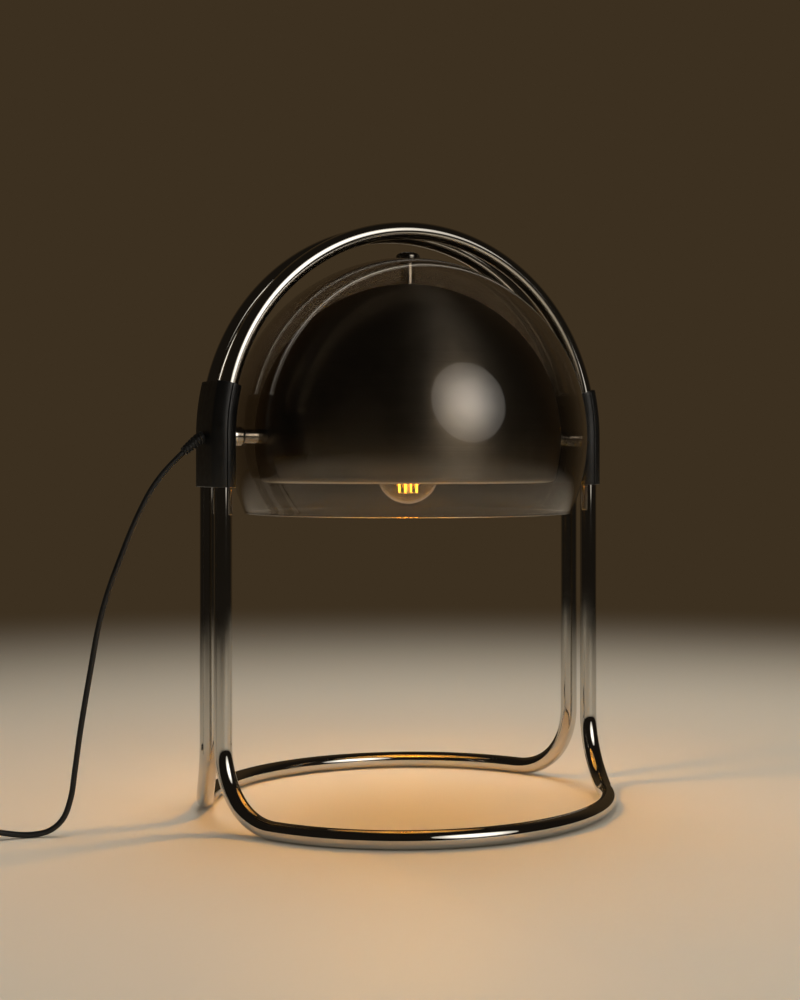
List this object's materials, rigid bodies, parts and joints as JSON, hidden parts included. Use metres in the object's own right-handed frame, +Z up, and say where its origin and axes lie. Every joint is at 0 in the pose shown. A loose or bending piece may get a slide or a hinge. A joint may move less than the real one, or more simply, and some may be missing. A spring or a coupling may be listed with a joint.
{
  "type": "table lamp",
  "caption": "Chromed tube table lamp with a smoked acrylic dome over a spun metal dome, tilting on an axle between black clamps, with cord, in-line switch and plug",
  "frame": {"origin": "middle of the lamp's footprint on the table, without the cord", "axes": "X along the tilt axle, from the cord side to the blind side; Y from the front tube loop to the rear one; Z up"},
  "size_m": [0.6769, 0.3832, 0.5427],
  "materials": {
    "chrome_tube": "polished chrome plating",
    "black_clamp": "black satin moulded",
    "smoked_acrylic": "glossy smoked acrylic, see-through",
    "spun_metal": "spun and darkened, satin",
    "axle_chrome": "polished chrome plating",
    "dark_chrome": "dark chrome plating",
    "zinc_steel": "zinc-plated",
    "nylon": "white moulded nylon",
    "holder_black": "black phenolic moulding",
    "holder_ceramic": "glazed white",
    "brass": "bright, unlacquered",
    "bulb_glass": "clear blown glass",
    "bulb_cap": "rolled thread, bright",
    "bulb_strips": "amber-coated light strips on a glass stem",
    "cord_black": "black flexible sheath",
    "switch_black": "black moulded"
  },
  "bodies": {
    "stand": {"coil_tie": "cord_black", "cord_coil": "cord_black", "cord_link": "cord_black", "cord_run": "cord_black", "cord_strain_relief": "cord_black", "cord_tail": "cord_black", "front_arch_tube": "chrome_tube", "front_base_tube": "chrome_tube", "front_left_tube_spigot": "zinc_steel", "front_right_tube_spigot": "zinc_steel", "left_axle_bush": "nylon", "left_clamp_inner_half": "black_clamp", "left_clamp_outer_half": "black_clamp", "left_lower_clamp_screw": "zinc_steel", "left_upper_clamp_screw": "zinc_steel", "plug_body": "switch_black", "plug_front_pin": "brass", "plug_rear_pin": "brass", "rear_arch_tube": "chrome_tube", "rear_base_tube": "chrome_tube", "rear_left_tube_spigot": "zinc_steel", "rear_right_tube_spigot": "zinc_steel", "right_axle_bush": "nylon", "right_clamp_inner_half": "black_clamp", "right_clamp_outer_half": "black_clamp", "right_lower_clamp_screw": "zinc_steel", "right_upper_clamp_screw": "zinc_steel", "switch_base": "switch_black", "switch_contact_strip": "brass", "switch_cover": "switch_black", "switch_inlet_screw": "zinc_steel", "switch_outlet_screw": "zinc_steel"},
    "shade": {"bulb_glass": "bulb_glass", "bulb_light_strips": "bulb_strips", "bulb_screw_cap": "bulb_cap", "finial_cap_nut": "dark_chrome", "holder_cap": "holder_black", "holder_centre_tongue": "brass", "holder_ceramic_insert": "holder_ceramic", "holder_skirt": "holder_black", "holder_thread_shell": "brass", "hollow_stem": "zinc_steel", "internal_lead": "cord_black", "left_axle_collar": "axle_chrome", "left_axle_lock_nut": "zinc_steel", "left_axle_spacer_tube": "axle_chrome", "left_dome_nut": "zinc_steel", "left_friction_washer": "zinc_steel", "left_hollow_axle": "axle_chrome", "right_axle_collar": "axle_chrome", "right_axle_lock_nut": "zinc_steel", "right_axle_spacer_tube": "axle_chrome", "right_dome_nut": "zinc_steel", "right_friction_washer": "zinc_steel", "right_hollow_axle": "axle_chrome", "smoked_outer_dome": "smoked_acrylic", "spun_inner_dome": "spun_metal", "stem_nut": "zinc_steel", "stem_spacer_tube": "axle_chrome"},
    "rocker": {"switch_rocker": "switch_black"}
  },
  "joints": [
    {"name": "shade_tilt", "type": "hinge", "parent": "stand", "child": "shade", "pos_m": [0, 0, 0.3432], "axis": [1, 0, 0], "range_deg": [-90, 90]},
    {"name": "rocker_press", "type": "hinge", "parent": "stand", "child": "rocker", "pos_m": [-0.416, 0.038, 0.0145], "axis": [-0.0698, -0.9976, 0], "range_deg": [-16, 0]}
  ]
}
